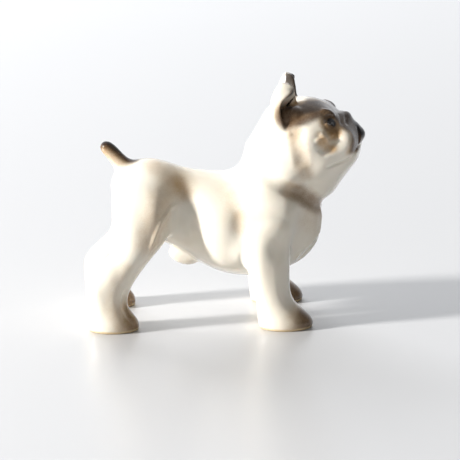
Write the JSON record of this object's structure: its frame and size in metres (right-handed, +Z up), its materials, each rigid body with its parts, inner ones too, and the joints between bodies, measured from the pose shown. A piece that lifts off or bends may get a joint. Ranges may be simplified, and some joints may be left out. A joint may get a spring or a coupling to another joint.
{
  "type": "ceramic dog figurine",
  "caption": "Standing bulldog figurine in glazed porcelain with upright ears, a raised muzzle and a short docked tail; a shelf ornament that rests on its soles.",
  "frame": {"origin": "middle of the figure's footprint, on the plane of the soles", "axes": "+X from tail to muzzle, +Y to the dog's left, +Z up"},
  "size_m": [0.1163, 0.0546, 0.1015],
  "materials": {
    "glaze_white": "glossy clear glaze over white porcelain, sprayed sepia at loin and paws",
    "glaze_mask": "glossy clear glaze over sprayed grey-brown mask, black eyes and nose",
    "glaze_ear": "glossy clear glaze, white outside and near-black brown inside",
    "glaze_tail": "glossy clear glaze, dark brown on top fading to white below"
  },
  "bodies": {
    "root": {"barrel": "glaze_white", "head": "glaze_mask", "ear_left": "glaze_ear", "ear_right": "glaze_ear", "tail": "glaze_tail", "foreleg_left": "glaze_white", "foreleg_right": "glaze_white", "hindleg_left": "glaze_white", "hindleg_right": "glaze_white"}
  },
  "joints": []
}
